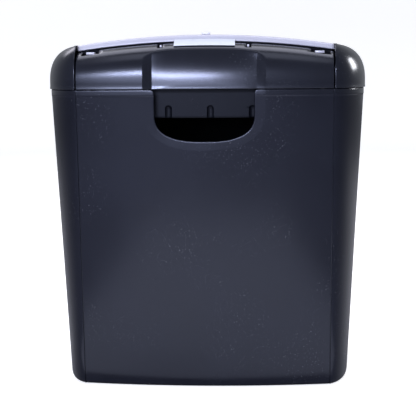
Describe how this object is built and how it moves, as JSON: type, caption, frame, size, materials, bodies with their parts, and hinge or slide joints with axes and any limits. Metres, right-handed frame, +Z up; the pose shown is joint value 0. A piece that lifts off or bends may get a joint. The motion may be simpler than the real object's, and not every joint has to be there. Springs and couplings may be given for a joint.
{
  "type": "paper shredder",
  "caption": "Strip-cut paper shredder: a lift-off cutting head with an arched silver top plate on a tapered waste basket with a U-shaped grip cut-out.",
  "frame": {"origin": "centre of the bounding box, on the surface that the basket stands on", "axes": "+Z up, +X to the right seen from the front, front faces -Y"},
  "size_m": [0.32, 0.1844, 0.3483],
  "materials": {
    "black_casing": "satin moulded black plastic with a faint blue tone",
    "black_inner": "matt moulded black plastic",
    "silver_plate": "satin silver paint, slightly lilac",
    "label": "pale blank plate, satin",
    "knob": "pale satin plastic",
    "steel": "machined steel",
    "hardened_steel": "ground and oiled steel",
    "bronze": "sintered bronze, oiled",
    "copper": "copper winding on laminated steel",
    "nylon": "natural nylon, greased",
    "motor_steel": "plated steel can",
    "board": "green circuit board",
    "blue_part": "blue plastic case",
    "rubber": "matt black rubber"
  },
  "bodies": {
    "basket": {"waste_basket": "black_casing"},
    "motor_rotor": {"motor_rotor": "copper", "motor_pinion": "steel"},
    "first_gear": {"first_gear": "nylon"},
    "second_gear": {"second_gear": "nylon"},
    "third_gear": {"third_gear": "nylon"},
    "rear_cutter": {"rear_cutter_roller": "hardened_steel", "rear_phasing_gear": "steel", "cutter_drive_gear": "nylon"},
    "front_cutter": {"front_cutter_roller": "hardened_steel", "front_phasing_gear": "steel"},
    "sensor_lever": {"paper_sensor_lever": "nylon"},
    "mode_knob": {"mode_switch_knob": "knob"},
    "interlock_plunger": {"interlock_plunger": "nylon"},
    "head": {"head_cover": "black_casing", "left_end_cap": "black_casing", "right_end_cap": "black_casing", "head_base": "black_inner", "paper_throat": "black_inner", "top_plate": "silver_plate", "nameplate": "label", "mode_switch_body": "black_inner", "front_left_bush": "bronze", "front_right_bush": "bronze", "rear_left_bush": "bronze", "rear_right_bush": "bronze", "front_lower_tie_rod": "steel", "front_upper_tie_rod": "steel", "rear_lower_tie_rod": "steel", "rear_upper_tie_rod": "steel", "left_side_plate": "steel", "right_side_plate": "steel", "front_stripper_comb": "black_inner", "rear_stripper_comb": "black_inner", "first_gear_axle": "steel", "second_gear_axle": "steel", "first_axle_clip": "steel", "second_axle_clip": "steel", "motor_can": "motor_steel", "motor_end_bell": "black_inner", "motor_screw_1": "steel", "motor_screw_2": "steel", "cover_screw_1": "steel", "cover_screw_2": "steel", "cover_screw_3": "steel", "cover_screw_4": "steel", "cap_screw_left": "steel", "cap_screw_right": "steel", "sensor_pivot_pin": "steel", "sensor_switch": "black_inner", "interlock_switch": "black_inner", "interlock_spring": "steel", "circuit_board": "board", "relay": "blue_part", "rectifier": "black_inner", "capacitor": "blue_part", "cord_gland": "rubber"}
  },
  "joints": [
    {"name": "head_lift", "type": "slide", "parent": "basket", "child": "head", "axis": [0, 0, 1], "range_m": [0, 0.12]},
    {"name": "motor_spin", "type": "hinge", "parent": "head", "child": "motor_rotor", "pos_m": [0.072, 0.0525, 0.291], "axis": [1, 0, 0], "continuous": true},
    {"name": "first_gear_spin", "type": "hinge", "parent": "head", "child": "first_gear", "pos_m": [0.112, 0.03611, 0.30246], "axis": [1, 0, 0], "continuous": true},
    {"name": "second_gear_spin", "type": "hinge", "parent": "head", "child": "second_gear", "pos_m": [0.117, 0.05491, 0.30931], "axis": [1, 0, 0], "continuous": true},
    {"name": "third_gear_spin", "type": "hinge", "parent": "head", "child": "third_gear", "pos_m": [0.123, 0.03611, 0.30246], "axis": [1, 0, 0], "continuous": true},
    {"name": "rear_cutter_spin", "type": "hinge", "parent": "head", "child": "rear_cutter", "pos_m": [-0.007, 0.013, 0.296], "axis": [1, 0, 0], "continuous": true},
    {"name": "front_cutter_spin", "type": "hinge", "parent": "head", "child": "front_cutter", "pos_m": [-0.007, -0.013, 0.296], "axis": [1, 0, 0], "continuous": true},
    {"name": "paper_sensor_tilt", "type": "hinge", "parent": "head", "child": "sensor_lever", "pos_m": [-0.007, -0.0125, 0.3215], "axis": [-1, 0, 0], "range_deg": [0, 25], "stiffness_Nm_per_rad": 0.002},
    {"name": "mode_switch_slide", "type": "slide", "parent": "head", "child": "mode_knob", "axis": [1, 0, 0], "range_m": [-0.005, 0.005]},
    {"name": "interlock_plunger_slide", "type": "slide", "parent": "head", "child": "interlock_plunger", "axis": [0, 0, -1], "range_m": [0, 0.003], "deforming": ["interlock_spring"]}
  ],
  "couplings": [
    {"joint": "first_gear_spin", "follows": "motor_spin", "ratio": -0.33333},
    {"joint": "second_gear_spin", "follows": "motor_spin", "ratio": 0.11111},
    {"joint": "third_gear_spin", "follows": "motor_spin", "ratio": -0.037037},
    {"joint": "rear_cutter_spin", "follows": "motor_spin", "ratio": 0.016835},
    {"joint": "front_cutter_spin", "follows": "motor_spin", "ratio": -0.016835},
    {"joint": "interlock_plunger_slide", "follows": "head_lift", "ratio": 0.025}
  ]
}
